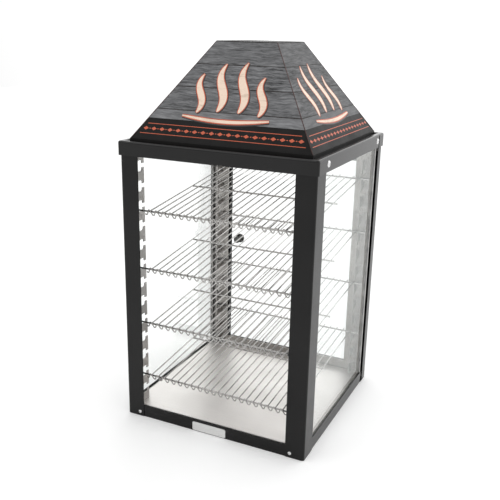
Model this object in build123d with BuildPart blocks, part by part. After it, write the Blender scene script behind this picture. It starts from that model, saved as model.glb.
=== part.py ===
from build123d import *
import math
import os

os.makedirs("parts", exist_ok=True)

# A heated counter-top merchandiser: a glazed cabinet with a sheet-steel frame, four tilted
# wire racks hung in slotted uprights, a glazed rear door, and a pyramid sign that covers the
# heater, the fan and the controls on the roof.
# Millimetres. The origin is the middle of the base, on the surface it stands on.
# +X is to the right as seen from the front, +Y is to the rear, +Z is up.

# Overall sizes
body_width = 388.0          # across the outer faces of the front posts
body_depth = 382.0          # front face to the rear face of the closed door
body_height = 562.0         # base to the rim of the roof cap
sign_top_height = 741.0     # base to the flat top of the sign

# Materials and clearances
sheet = 1.2                 # painted frame sheet
steel = 1.5                 # stainless uprights and rear frame
glass = 3.2
moving_gap = 0.3            # between pieces that move past or rest on each other
running_gap = 0.05          # radial clearance of a pin or shaft in its bore

# Frame
rail_height = 25.0
post_face = 38.0            # width of a front post seen from the front
post_flange = 43.0          # depth of a front post seen from the side
post_corner = 5.0           # outside bend radius of a front post
side_end_setback = 30.0     # rear face to the rear end of the side rails and side glass
rear_post_recess = 3.7      # how far the rear posts stand inside the posts' outer faces
rear_post_flange = 12.0

# Cap
cap_overhang = 3.4
cap_skirt = 26.5
cap_edge = 5.0              # rounding of the cap's top edges
cap_rim = 10.0              # width of the raised rim
cap_recess = 2.5            # depth of the recess inside the rim
corner_return = 32.0        # length of the slightly proud returns at the cap's corners
return_height = 0.8

# Sign
sign_foot_height = 7.0      # upright foot of the sign, below its sloping faces
sign_setback = 15.0         # posts' outer faces and front face to the start of the slopes
sign_top_x = 61.0
sign_top_y = 63.5
sign_wall = 2.0

# Glazing
seal_wall = 0.9             # rubber on each side of a pane
seal_lap = 2.5              # how far a seal reaches over the edge of its pane
seal_root = 1.5             # rubber outside the edge of a pane
seal_tuck = 5.0             # how far a seal's inner edge hides behind the frame

# Slotted uprights
upright_setback = 17.0      # front face to the outside of the front uprights
upright_face = 19.6         # width of an upright's face, from the fold to the rear frame's side
flange_depth = 21.5
slot_count = 13
slot_pitch = 38.5
top_slot_height = 513.3
slot_height = 21.0
slot_width = 14.0
mouth_height = 8.0
arm_height = 8.5
arm_length = 14.5
slot_corner = 2.5

# Wire racks
long_wire = 2.4
cross_wire = 3.4
weld_sink = 0.3             # how far crossing wires are pressed together at a weld
weld_gap = 0.1              # between the wavy wire and the front cross wire, bridged by welds
weld_every = 5              # waves between those welds
weld_height = 1.4
long_wire_pitch = 15.4
cross_wire_reach = 13.0     # how far a cross wire runs past the racked face of an upright
grid_offset = 9.5           # the long wires sit this far to the right on the cross wires
wire_overrun = 3.0          # long wires run this far past the rear cross wire
mid_wire_overrun = 6.0
scallop_drop = 6.5          # the wavy front wire hangs this far below the front cross wire
scallop_rise = 3.0
scallop_lead = 0.61         # the wave's first low point, ahead of the first long wire, in pitches
scallop_peak = 0.4          # from a low point to the next peak, in pitches
rack_front_slots = (3, 6, 9, 12)
rack_shifts = (0.0, 0.0, -1.2, -3.5)
rack_turns = (0.0, -0.5, 0.7, 1.3)   # degrees that each rack lies askew in its slots

# Rear frame and door
rear_jamb = 37.9            # width of the rear frame beside its opening
rear_sill_height = 42.0     # bottom of the opening in the rear frame
door_depth = 20.4
door_stile = 38.0
door_bottom_rail = 26.0
door_top_rail = 30.0
door_bottom = 3.2
door_top = 533.0
gasket_thickness = 2.7
gasket_width = 8.0
bead_depth = 4.0
hinge_inset_x = 5.5         # hinge axis inside the door's outer side and rear faces
hinge_inset_y = 5.5
hinge_pin_radius = 2.5
hinge_bush_radius = 4.0
knob_inset = 19.0           # middle of the knob inside the edge of the door's window
knob_height = 282.5
knob_radius = 11.0
knob_length = 19.0
knob_screw_radius = 3.0

# Floor and ceiling
floor_top = 23.0
liner_inset = 5.3           # floor and ceiling pans inside the posts' outer faces
ceiling_height = 536.0
air_slot_width = 8.0
air_slot_length_middle = 120.0
air_slot_length_side = 34.0
air_slot_pitch_middle = 20.0
air_slot_pitch_side = 30.0
air_slot_inset = 51.3       # ceiling's side edges to the middle of the slots beside the fan

# Heater, fan and controls
housing_half = 95.0
housing_height = 52.0
fan_radius = 58.0
fan_hub_radius = 14.0
fan_blades = 5
shaft_radius = 2.5
motor_radius = 32.0
motor_height = 34.0
element_radius = 78.0
element_tube = 3.5
panel_width = 190.0
panel_height = 62.0
panel_up_slope = 48.0       # centre of the control panel above the foot of the rear slope

# Screws of the frame and the cap
cap_screw_head = 6.0
cap_screw_head_height = 2.4
frame_screw_head = 3.6
screw_head_height = 1.6
panel_screw_head = 3.5
screw_clearance = 0.3
frame_screw_inset = 28.5    # from the side of the cabinet
frame_screw_height = 9.0
frame_screw_shank = 1.8
cap_screw_height = 549.0
cap_screw_front = 46.0      # from the front face
cap_screw_rear = 41.0       # from the rear face
cap_screw_shank = 2.2

# Places worked out from the sizes above
half_width = body_width / 2
rail_face = half_width - sheet              # outer face of the rails, behind the posts
rail_inside = half_width - 2 * sheet
door_front = body_depth - door_depth
rear_frame_rear = door_front - gasket_thickness - moving_gap
rear_frame_front = rear_frame_rear - steel
cap_bottom = body_height - cap_skirt
cap_half_x = half_width + cap_overhang
cap_half_y = body_depth / 2 + cap_overhang
cap_side_face = cap_half_x - return_height  # skirt of the cap between its corner returns
deck_top = body_height - cap_recess
deck_under = deck_top - sheet
rear_post_x = half_width - rear_post_recess
seal_depth = glass + 2 * seal_wall
cross_wire_radius = cross_wire / 2
long_wire_radius = long_wire / 2
side_end = body_depth - side_end_setback
sign_base_height = deck_top + sign_foot_height
sign_base_x = half_width - sign_setback
sign_base_y = body_depth / 2 - sign_setback
rear_frame_half = rear_post_x - 2 * sheet
rear_opening_x = rear_frame_half - rear_jamb
flange_x = rear_frame_half - moving_gap - upright_face
cross_wire_length = 2 * (flange_x + cross_wire_reach)
long_wire_count = round(2 * flange_x / long_wire_pitch) - 1
knob_x = door_stile + knob_inset - half_width
frame_screw_x = half_width - frame_screw_inset
cap_screw_places = (cap_screw_front, body_depth - cap_screw_rear)
slot_middle_y = slot_width / 2 + steel / 2  # fold line to the middle of a slot


def from_front(distance):
    """Y of a point that lies this far behind the cabinet's front face."""
    return distance - body_depth / 2


def front_plane(y):
    """Upright plane that faces the front, with local x along X and local y along Z."""
    return Plane.XZ.offset(-y)


def slot_z(number):
    """Height of the middle of an upright's slot, counted from 1 at the top."""
    return top_slot_height - (number - 1) * slot_pitch


def front_screw_holes():
    """Clearance cylinders for the two frame screws."""
    with BuildPart() as holes:
        with BuildSketch(front_plane(from_front(-1))):
            with Locations((-frame_screw_x, frame_screw_height), (frame_screw_x, frame_screw_height)):
                RegularPolygon(radius=frame_screw_shank + screw_clearance, side_count=8)
        extrude(amount=-6)
    return holes.part


def side_screw_holes():
    """Clearance cylinders for the four cap screws."""
    with BuildPart() as holes:
        with BuildSketch(Plane.YZ):
            with Locations([(from_front(distance), cap_screw_height) for distance in cap_screw_places]):
                RegularPolygon(radius=cap_screw_shank + screw_clearance, side_count=8)
        extrude(amount=cap_half_x + 1, both=True)
    return holes.part


def angle_section(corner_x, corner_y, leg_x, leg_y, thickness, bend):
    """L section for a folded sheet. Leg lengths carry their direction, and bend 0 is a sharp fold."""
    inward_x = math.copysign(thickness, leg_x)
    inward_y = math.copysign(thickness, leg_y)
    with BuildSketch() as section:
        with BuildLine():
            Polyline(
                (corner_x, corner_y),
                (corner_x + leg_x, corner_y),
                (corner_x + leg_x, corner_y + inward_y),
                (corner_x + inward_x, corner_y + inward_y),
                (corner_x + inward_x, corner_y + leg_y),
                (corner_x, corner_y + leg_y),
                close=True,
            )
        make_face()
        if bend == 0:
            return section.sketch
        inner = section.vertices().sort_by_distance((corner_x + inward_x, corner_y + inward_y))[0]
        fillet(inner, radius=bend - thickness)
        outer = section.vertices().sort_by_distance((corner_x, corner_y))[0]
        fillet(outer, radius=bend)
    return section.sketch


# Base tray: bottom plate with an ear for the lower hinge pin, front rail and two side rails
hinge_x = half_width - hinge_inset_x
hinge_y = from_front(body_depth - hinge_inset_y)
ear_width = 2 * hinge_inset_x + 4.0
with BuildPart() as base_frame:
    with BuildSketch(Plane.XY):
        with Locations((0, from_front((sheet + side_end) / 2))):
            Rectangle(2 * rail_face, side_end - sheet)
        with Locations((0, from_front((side_end + rear_frame_rear + sheet) / 2))):
            Rectangle(2 * rear_post_x, rear_frame_rear + sheet - side_end)
        with Locations((half_width - ear_width / 2, from_front((side_end + body_depth) / 2))):
            Rectangle(ear_width, body_depth - side_end)
    extrude(amount=sheet)
    with BuildSketch(Plane.XY.offset(sheet)):
        with Locations((0, from_front((sheet + side_end) / 2))):
            Rectangle(2 * rail_face, side_end - sheet)
        with Locations((0, from_front((2 * sheet + side_end + 1) / 2))):
            Rectangle(2 * rail_inside, side_end + 1 - 2 * sheet, mode=Mode.SUBTRACT)
    extrude(amount=rail_height - sheet)
    rail_corners = base_frame.edges().filter_by(Axis.Z).group_by(Axis.Y)[0]
    fillet(rail_corners, radius=post_corner - sheet)
    add(front_screw_holes(), mode=Mode.SUBTRACT)
base_frame.part.label = "base_frame"
export_step(base_frame.part, "parts/base_frame.step")

# Lower hinge pin, riveted in the ear of the base tray
with BuildPart() as lower_hinge_pin:
    with BuildSketch(Plane.XY.offset(sheet)):
        with Locations((hinge_x, hinge_y)):
            Circle(hinge_pin_radius)
    extrude(amount=10.0)
    chamfer(lower_hinge_pin.faces().sort_by(Axis.Z)[-1].edges(), length=0.8)
lower_hinge_pin.part.label = "lower_hinge_pin"
export_step(lower_hinge_pin.part, "parts/lower_hinge_pin.step")


# Front posts: folded angles that stand over the rails, from the base to the deck of the cap
def front_post(side):
    with BuildPart() as post:
        with BuildSketch(Plane.XY):
            add(
                angle_section(
                    side * half_width, from_front(0), -side * post_face, post_flange, sheet, post_corner
                )
            )
        extrude(amount=deck_under)
        add(front_screw_holes(), mode=Mode.SUBTRACT)
        add(side_screw_holes(), mode=Mode.SUBTRACT)
    return post.part


for name, side in (("front_left_post", -1), ("front_right_post", 1)):
    post_part = front_post(side)
    post_part.label = name
    export_step(post_part, f"parts/{name}.step")


# Rear posts: narrow angles that stand inside the line of the side rails, behind the side glass
def rear_post(side):
    with BuildPart() as post:
        with BuildSketch(Plane.XY.offset(sheet)):
            add(
                angle_section(
                    side * rear_post_x,
                    from_front(rear_frame_rear + sheet),
                    -side * rear_post_flange,
                    side_end - rear_frame_rear - sheet,
                    sheet,
                    2 * sheet,
                )
            )
        extrude(amount=ceiling_height - sheet)
    return post.part


for name, side in (("rear_left_post", -1), ("rear_right_post", 1)):
    post_part = rear_post(side)
    post_part.label = name
    export_step(post_part, f"parts/{name}.step")

# Rear frame: the flat stainless ring that the door closes on
with BuildPart() as rear_frame:
    with BuildSketch(front_plane(from_front(rear_frame_front))):
        with Locations((0, (sheet + deck_under) / 2)):
            Rectangle(2 * rear_frame_half, deck_under - sheet)
        with Locations((0, (rear_sill_height + ceiling_height) / 2)):
            Rectangle(2 * rear_opening_x, ceiling_height - rear_sill_height, mode=Mode.SUBTRACT)
    extrude(amount=-steel)
rear_frame.part.label = "rear_frame"
export_step(rear_frame.part, "parts/rear_frame.step")

# Top frame: a ring of folded sheet inside the cap, above the glass
top_frame_rear = rear_frame_front
with BuildPart() as top_frame:
    with BuildSketch(Plane.XY.offset(ceiling_height)):
        with Locations((0, from_front((sheet + top_frame_rear) / 2))):
            Rectangle(2 * rail_face, top_frame_rear - sheet)
            Rectangle(2 * rail_inside, top_frame_rear - 3 * sheet, mode=Mode.SUBTRACT)
    extrude(amount=deck_under - ceiling_height)
    ring_corners = top_frame.edges().filter_by(Axis.Z).group_by(Axis.Y)[0]
    fillet(ring_corners, radius=post_corner - sheet)
    add(side_screw_holes(), mode=Mode.SUBTRACT)
top_frame.part.label = "top_frame"
export_step(top_frame.part, "parts/top_frame.step")

# Upper hinge bracket: a folded plate on the rear frame, with the upper pin
with BuildPart() as upper_hinge_bracket:
    with BuildSketch(Plane.XY.offset(ceiling_height)):
        with Locations((half_width - ear_width / 2, from_front((rear_frame_rear + body_depth) / 2))):
            Rectangle(ear_width, body_depth - rear_frame_rear)
    extrude(amount=steel)
    with BuildSketch(Plane.XY.offset(ceiling_height)):
        tab_width = rear_frame_half - half_width + ear_width
        with Locations((half_width - ear_width + tab_width / 2, from_front(rear_frame_rear + steel / 2))):
            Rectangle(tab_width, steel)
    extrude(amount=deck_under - ceiling_height - sheet)
    with BuildSketch(Plane.XY.offset(ceiling_height)):
        with Locations((hinge_x, hinge_y)):
            Circle(hinge_pin_radius)
    extrude(amount=-11.0)
    chamfer(upper_hinge_bracket.faces().sort_by(Axis.Z)[0].edges(), length=0.8)
upper_hinge_bracket.part.label = "upper_hinge_bracket"
export_step(upper_hinge_bracket.part, "parts/upper_hinge_bracket.step")

# Floor pan: a stainless plate with turned-down edges that stands on the base tray
liner_half = rail_inside - liner_inset
liner_front = 2 * sheet + liner_inset
liner_rear = rear_frame_front - steel - moving_gap
with BuildPart() as floor_pan:
    with BuildSketch(Plane.XY.offset(sheet)):
        with Locations((0, from_front((liner_front + liner_rear) / 2))):
            Rectangle(2 * liner_half, liner_rear - liner_front)
    extrude(amount=floor_top - sheet)
    offset(amount=-1.0, openings=floor_pan.faces().sort_by(Axis.Z)[0])
floor_pan.part.label = "floor_pan"
export_step(floor_pan.part, "parts/floor_pan.step")

# Ceiling panel: turned-up edges meet the deck, slots let air out at the sides and back in the middle
with BuildPart() as ceiling_panel:
    with BuildSketch(Plane.XY.offset(ceiling_height)):
        with Locations((0, from_front((liner_front + liner_rear) / 2))):
            Rectangle(2 * liner_half, liner_rear - liner_front)
    extrude(amount=deck_under - ceiling_height)
    offset(amount=-1.0, openings=ceiling_panel.faces().sort_by(Axis.Z)[-1])
    with BuildSketch(Plane.XY.offset(ceiling_height)):
        with GridLocations(1, air_slot_pitch_middle, 1, 6):
            Rectangle(air_slot_length_middle, air_slot_width)
        with GridLocations(2 * (liner_half - air_slot_inset), air_slot_pitch_side, 2, 8):
            Rectangle(air_slot_length_side, air_slot_width)
    extrude(amount=2.0, mode=Mode.SUBTRACT)
ceiling_panel.part.label = "ceiling_panel"
export_step(ceiling_panel.part, "parts/ceiling_panel.step")

# Roof cap: a pan with a skirt, rounded top edges, a raised rim round a shallow recess, proud
# returns at its corners, and the openings that the heater and the fan need in its deck
leg_angle = 12.0            # half angle of the gap between the heating element's two legs
leg_x = element_radius * math.sin(math.radians(leg_angle))
leg_y = -element_radius * math.cos(math.radians(leg_angle))
with BuildPart() as top_cap:
    with BuildSketch(Plane.XY.offset(cap_bottom)):
        Rectangle(2 * cap_half_x, 2 * cap_half_y)
    extrude(amount=cap_skirt)
    fillet(top_cap.edges().filter_by(Axis.Z), radius=cap_edge)
    fillet(top_cap.faces().sort_by(Axis.Z)[-1].edges(), radius=cap_edge - 1)
    for side in (-1, 1):
        with BuildSketch(Plane.XY.offset(cap_bottom)):
            with Locations((side * cap_half_x, 0)):
                Rectangle(2 * return_height, 2 * (cap_half_y - corner_return))
        extrude(amount=cap_skirt, mode=Mode.SUBTRACT)
    with BuildSketch(Plane.XY.offset(cap_bottom)):
        Rectangle(
            2 * (cap_half_x - return_height - sheet),
            2 * (cap_half_y - sheet),
        )
    extrude(amount=deck_under - cap_bottom, mode=Mode.SUBTRACT)
    with BuildSketch(Plane.XY.offset(deck_top)):
        Rectangle(2 * (cap_half_x - cap_rim), 2 * (cap_half_y - cap_rim))
    extrude(amount=cap_recess, mode=Mode.SUBTRACT)
    with BuildSketch(Plane.XY.offset(deck_under)):
        Circle(fan_radius + 4)
        with Locations((-leg_x, leg_y), (leg_x, leg_y)):
            Circle(element_tube + moving_gap)
    extrude(amount=sheet, mode=Mode.SUBTRACT)
    add(side_screw_holes(), mode=Mode.SUBTRACT)
top_cap.part.label = "top_cap"
export_step(top_cap.part, "parts/top_cap.step")


# Glazing: each fixed pane sits in a rubber channel that follows its edge
def glazed_opening(plane, low, high):
    """Pane and channel for an opening whose frame shows from corner low to corner high."""
    middle = ((low[0] + high[0]) / 2, (low[1] + high[1]) / 2)
    open_width = high[0] - low[0] + 2 * seal_tuck
    open_height = high[1] - low[1] + 2 * seal_tuck
    pane_width = open_width + 2 * seal_lap
    pane_height = open_height + 2 * seal_lap
    with BuildPart() as pane:
        with BuildSketch(plane.offset(-seal_wall)):
            with Locations(middle):
                Rectangle(pane_width, pane_height)
        extrude(amount=-glass)
    with BuildPart() as channel:
        with BuildSketch(plane):
            with Locations(middle):
                Rectangle(pane_width + 2 * seal_root, pane_height + 2 * seal_root)
                Rectangle(open_width, open_height, mode=Mode.SUBTRACT)
        extrude(amount=-seal_depth)
        with BuildSketch(plane.offset(-seal_wall)):
            with Locations(middle):
                Rectangle(pane_width, pane_height)
        extrude(amount=-glass, mode=Mode.SUBTRACT)
    return pane.part, channel.part


side_seal_end = side_end - moving_gap
seal_reach = seal_tuck + seal_lap + seal_root
front_low = (-half_width + post_face, rail_height)
front_high = (half_width - post_face, cap_bottom)
side_low = (from_front(post_flange), rail_height)
side_high = (from_front(side_seal_end - seal_reach), cap_bottom)
side_planes = {
    "front": (front_plane(from_front(2 * sheet)), front_low, front_high),
    "left": (Plane.YZ.offset(-rail_inside + seal_depth), side_low, side_high),
    "right": (Plane.YZ.offset(rail_inside), side_low, side_high),
}
for name, (plane, low, high) in side_planes.items():
    pane_part, channel_part = glazed_opening(plane, low, high)
    pane_part.label = f"{name}_glass"
    export_step(pane_part, f"parts/{name}_glass.step")
    channel_part.label = f"{name}_glass_seal"
    export_step(channel_part, f"parts/{name}_glass_seal.step")


# Uprights: folded stainless angles. Each slot is a tall hole behind a narrow mouth in the racked
# flange, with an arm that runs round the fold into the wide face.
def slotted_upright(side, end):
    """Side is -1 for left and 1 for right, end is 1 for front and -1 for rear."""
    fold_y = from_front(upright_setback if end == 1 else rear_frame_front)
    slots = [slot_z(number) for number in range(1, slot_count + 1)]
    with BuildPart() as upright:
        with BuildSketch(Plane.XY.offset(floor_top)):
            add(angle_section(side * flange_x, fold_y, side * upright_face, end * flange_depth, steel, 0))
        extrude(amount=ceiling_height - floor_top)
        with BuildSketch(Plane.YZ.offset(side * flange_x)) as slot_cut:
            with Locations([(fold_y + end * slot_middle_y, z) for z in slots]):
                Rectangle(slot_width, slot_height)
            chamfer(slot_cut.vertices(), length=slot_corner)
            mouth_start = slot_middle_y + slot_width / 2 - 1
            mouth_length = flange_depth + 1 - mouth_start
            with Locations([(fold_y + end * (mouth_start + mouth_length / 2), z) for z in slots]):
                Rectangle(mouth_length, mouth_height)
        extrude(amount=2 * steel, both=True, mode=Mode.SUBTRACT)
        with BuildSketch(front_plane(fold_y)):
            arm_middle = side * (flange_x + steel + (arm_length - steel) / 2 - 1)
            with Locations([(arm_middle, z) for z in slots]):
                Rectangle(arm_length + 2, arm_height)
        extrude(amount=2 * steel, both=True, mode=Mode.SUBTRACT)
    return upright.part


for name, side, end in (
    ("front_left_upright", -1, 1),
    ("front_right_upright", 1, 1),
    ("rear_left_upright", -1, -1),
    ("rear_right_upright", 1, -1),
):
    upright_part = slotted_upright(side, end)
    upright_part.label = name
    export_step(upright_part, f"parts/{name}.step")

# Wire rack, made once on its own level plane. Local x runs along the cross wires, local y to the
# rear, and the origin is the middle of the rack at the height of the cross wires.
front_wire_y = from_front(upright_setback + slot_middle_y)
rear_wire_y = from_front(rear_frame_front - slot_middle_y)
rack_run = rear_wire_y - front_wire_y
rack_tilt = math.degrees(math.atan2(slot_pitch, rack_run))
rack_length = math.hypot(slot_pitch, rack_run)
long_wire_z = cross_wire_radius + long_wire_radius - weld_sink
grid_half = (long_wire_count - 1) / 2 * long_wire_pitch
long_wire_length = rack_length + cross_wire_radius + wire_overrun + 0.5 * cross_wire_radius
wavy_wire_y = rack_length / 2 + cross_wire_radius / math.cos(math.radians(30)) + weld_gap
wave_start = grid_offset - grid_half - scallop_lead * long_wire_pitch
wave_crossing = scallop_peak * scallop_drop / (scallop_drop + scallop_rise)
wave = []
for step in range(long_wire_count):
    wave_x = wave_start + step * long_wire_pitch
    wave.append((wave_x, -scallop_drop))
    wave.append((wave_x + scallop_peak * long_wire_pitch, scallop_rise))
weld_places = []
for step in range(0, long_wire_count, weld_every):
    weld_places.append((wave_start + (step + wave_crossing) * long_wire_pitch, 0))
with BuildPart() as wire_rack:
    for wire_y in (-rack_length / 2, rack_length / 2):
        with BuildSketch(Plane.YZ.offset(-cross_wire_length / 2)):
            with Locations((wire_y, 0)):
                RegularPolygon(radius=cross_wire_radius, side_count=6, major_radius=False)
        extrude(amount=cross_wire_length)
    with BuildSketch(Plane.YZ.offset(grid_offset - grid_half)):
        RegularPolygon(radius=cross_wire_radius, side_count=6, major_radius=False)
    extrude(amount=2 * grid_half + mid_wire_overrun)
    with BuildSketch(Plane.XZ.offset(-rack_length / 2 - cross_wire_radius - wire_overrun)):
        with Locations((grid_offset, long_wire_z)):
            with GridLocations(long_wire_pitch, 1, long_wire_count, 1):
                RegularPolygon(radius=long_wire_radius, side_count=4)
    extrude(amount=long_wire_length)
    with BuildSketch(Plane.XZ.offset(wavy_wire_y)):
        with BuildLine():
            Polyline(
                [(x, z + long_wire_radius) for x, z in wave]
                + [(x, z - long_wire_radius) for x, z in reversed(wave)],
                close=True,
            )
        make_face()
    extrude(amount=long_wire)
    with BuildSketch(Plane.XZ.offset(rack_length / 2)):
        with Locations(weld_places):
            Rectangle(long_wire, weld_height)
    extrude(amount=wavy_wire_y - rack_length / 2 + long_wire_radius)

# Each rack lies in its slots, with its front one slot lower than its rear
for index, front_slot in enumerate(rack_front_slots):
    name = f"rack_{index + 1}"
    turn = math.radians(rack_turns[index])
    tilt = math.radians(rack_tilt)
    across = Vector(math.cos(turn), -math.sin(turn), 0)
    along = Vector(math.sin(turn) * math.cos(tilt), math.cos(turn) * math.cos(tilt), math.sin(tilt))
    seat_z = -slot_height / 2 + cross_wire_radius + moving_gap
    rack_middle = (
        rack_shifts[index],
        (front_wire_y + rear_wire_y) / 2,
        (slot_z(front_slot) + slot_z(front_slot - 1)) / 2 + seat_z,
    )
    rack_place = Plane(origin=rack_middle, x_dir=across, z_dir=across.cross(along)).location
    with BuildPart() as rack:
        add(wire_rack.part.moved(rack_place))
    rack.part.label = name
    export_step(rack.part, f"parts/{name}.step")

# Door frame: a folded channel with its open side to the cabinet, a flange for the gasket and a
# lip at the rear for the pane
door_half = half_width
window_half = door_half - door_stile
window_low = door_bottom + door_bottom_rail
window_high = door_top - door_top_rail
window_middle = (window_low + window_high) / 2
window_height = window_high - window_low
door_middle = (door_bottom + door_top) / 2
door_height = door_top - door_bottom
pane_lip = 4.0
gasket_flange = 13.0
bush_hole = hinge_bush_radius + running_gap
with BuildPart() as door_frame:
    with BuildSketch(front_plane(from_front(door_front))):
        with Locations((0, door_middle)):
            Rectangle(2 * door_half, door_height)
        with Locations((0, window_middle)):
            Rectangle(2 * window_half, window_height, mode=Mode.SUBTRACT)
    extrude(amount=-door_depth)
    with BuildSketch(front_plane(from_front(door_front))):
        with Locations((0, door_middle)):
            Rectangle(2 * (door_half - sheet), door_height - 2 * sheet)
        with Locations((0, window_middle)):
            Rectangle(2 * (window_half + sheet), window_height + 2 * sheet, mode=Mode.SUBTRACT)
    extrude(amount=sheet - door_depth, mode=Mode.SUBTRACT)
    with BuildSketch(front_plane(from_front(door_front))):
        with Locations((0, window_middle)):
            Rectangle(2 * (window_half + gasket_flange), window_height + 2 * gasket_flange)
            Rectangle(2 * window_half, window_height, mode=Mode.SUBTRACT)
    extrude(amount=-sheet)
    with BuildSketch(front_plane(from_front(body_depth - sheet))):
        with Locations((0, window_middle)):
            Rectangle(2 * window_half, window_height)
            Rectangle(2 * (window_half - pane_lip), window_height - 2 * pane_lip, mode=Mode.SUBTRACT)
    extrude(amount=-sheet)
    with BuildSketch(Plane.XY.offset(door_bottom)):
        with Locations((hinge_x, hinge_y)):
            Circle(bush_hole)
    extrude(amount=door_height, mode=Mode.SUBTRACT)
    rear_corners = door_frame.edges().filter_by(Axis.Z).group_by(Axis.Y)[-1]
    fillet(rear_corners.sort_by(Axis.X)[0], radius=1.0)
    fillet(door_frame.edges().filter_by(Axis.Z).group_by(Axis.Y)[-1].sort_by(Axis.X)[-1], radius=1.0)
door_frame.part.label = "door_frame"
export_step(door_frame.part, "parts/door_frame.step")

# Door pane, held between the frame's lip and a rubber bead, with a hole for the knob's screw
door_pane_rear = body_depth - sheet
with BuildPart() as door_glass:
    with BuildSketch(front_plane(from_front(door_pane_rear))):
        with Locations((0, window_middle)):
            Rectangle(2 * (window_half - moving_gap), window_height - 2 * moving_gap)
        with Locations((knob_x, knob_height)):
            Circle(knob_screw_radius + moving_gap, mode=Mode.SUBTRACT)
    extrude(amount=glass)
door_glass.part.label = "door_glass"
export_step(door_glass.part, "parts/door_glass.step")

with BuildPart() as door_glass_bead:
    with BuildSketch(front_plane(from_front(door_pane_rear - glass))):
        with Locations((0, window_middle)):
            Rectangle(2 * window_half, window_height)
            Rectangle(2 * (window_half - pane_lip), window_height - 2 * pane_lip, mode=Mode.SUBTRACT)
    extrude(amount=bead_depth)
    chamfer(door_glass_bead.faces().sort_by(Axis.Y)[0].inner_wires()[0].edges(), length=1.5)
door_glass_bead.part.label = "door_glass_bead"
export_step(door_glass_bead.part, "parts/door_glass_bead.step")

# Door gasket, on the flange of the door frame
gasket_inset = 2.0
with BuildPart() as door_gasket:
    with BuildSketch(front_plane(from_front(door_front))):
        with Locations((0, window_middle)):
            gasket_outer = gasket_inset + gasket_width
            Rectangle(2 * (window_half + gasket_outer), window_height + 2 * gasket_outer)
            Rectangle(
                2 * (window_half + gasket_inset), window_height + 2 * gasket_inset, mode=Mode.SUBTRACT
            )
    extrude(amount=gasket_thickness)
door_gasket.part.label = "door_gasket"
export_step(door_gasket.part, "parts/door_gasket.step")

# Hinge bushes, flanged, pressed in the bottom and top walls of the door frame
bush_flange = door_bottom - sheet - moving_gap
bush_reach = 8.0
with BuildPart() as hinge_bushes:
    for wall_z, inward in ((door_bottom, 1), (door_top, -1)):
        with BuildSketch(Plane.XY.offset(wall_z - inward * bush_flange)):
            with Locations((hinge_x, hinge_y)):
                Circle(hinge_bush_radius + 1.3)
        extrude(amount=inward * bush_flange)
        with BuildSketch(Plane.XY.offset(wall_z)):
            with Locations((hinge_x, hinge_y)):
                Circle(hinge_bush_radius)
        extrude(amount=inward * bush_reach)
    with BuildSketch(Plane.XY):
        with Locations((hinge_x, hinge_y)):
            Circle(hinge_pin_radius + running_gap)
    extrude(amount=body_height, mode=Mode.SUBTRACT)
hinge_bushes.part.label = "hinge_bushes"
export_step(hinge_bushes.part, "parts/hinge_bushes.step")

# Door knob on the outside of the pane, and the screw with its washer on the inside
knob_axis_plane = Plane(
    origin=(knob_x, from_front(door_pane_rear), knob_height), x_dir=(1, 0, 0), z_dir=(0, 0, 1)
)
with BuildPart() as door_knob:
    with BuildSketch(knob_axis_plane):
        with BuildLine():
            Polyline(
                (0, 0),
                (0.6 * knob_radius, 0),
                (0.5 * knob_radius, 0.4 * knob_length),
                (0.9 * knob_radius, 0.55 * knob_length),
                (knob_radius, 0.7 * knob_length),
                (0.9 * knob_radius, 0.9 * knob_length),
                (0.5 * knob_radius, knob_length),
                (0, knob_length),
                close=True,
            )
        make_face()
    revolve(axis=Axis((knob_x, 0, knob_height), (0, 1, 0)))
    with BuildSketch(front_plane(from_front(door_pane_rear))):
        with Locations((knob_x, knob_height)):
            Circle(knob_screw_radius)
    extrude(amount=-0.5 * knob_length, mode=Mode.SUBTRACT)
door_knob.part.label = "door_knob"
export_step(door_knob.part, "parts/door_knob.step")

washer_radius = 8.0
with BuildPart() as knob_screw:
    with BuildSketch(front_plane(from_front(door_pane_rear - glass))):
        with Locations((knob_x, knob_height)):
            RegularPolygon(radius=washer_radius, side_count=24)
    extrude(amount=1.0)
    with BuildSketch(front_plane(from_front(door_pane_rear - glass) - 1.0)):
        with Locations((knob_x, knob_height)):
            RegularPolygon(radius=1.8 * knob_screw_radius, side_count=12)
    extrude(amount=2.2, taper=25)
    with BuildSketch(front_plane(from_front(door_pane_rear - glass))):
        with Locations((knob_x, knob_height)):
            Circle(knob_screw_radius)
    extrude(amount=-glass - 0.5 * knob_length)
knob_screw.part.label = "knob_screw"
export_step(knob_screw.part, "parts/knob_screw.step")

# Magnetic catch on the rear frame and its strike plate in the door's channel
catch_width = 7.5
catch_x = -(rear_post_x - rear_post_flange - moving_gap - catch_width / 2)
catch_height = 42.0
catch_depth = 8.0
strike_gap = 0.5
with BuildPart() as magnet_catch:
    with BuildSketch(front_plane(from_front(rear_frame_rear))):
        with Locations((catch_x, knob_height)):
            Rectangle(catch_width, catch_height)
    extrude(amount=-catch_depth)
magnet_catch.part.label = "magnet_catch"
export_step(magnet_catch.part, "parts/magnet_catch.step")

with BuildPart() as strike_plate:
    strike_front = rear_frame_rear + catch_depth + strike_gap
    with BuildSketch(front_plane(from_front(strike_front))):
        with Locations((catch_x, knob_height)):
            Rectangle(catch_width + 2, catch_height + 4)
    extrude(amount=-(door_pane_rear - strike_front))
strike_plate.part.label = "strike_plate"
export_step(strike_plate.part, "parts/strike_plate.step")

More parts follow.
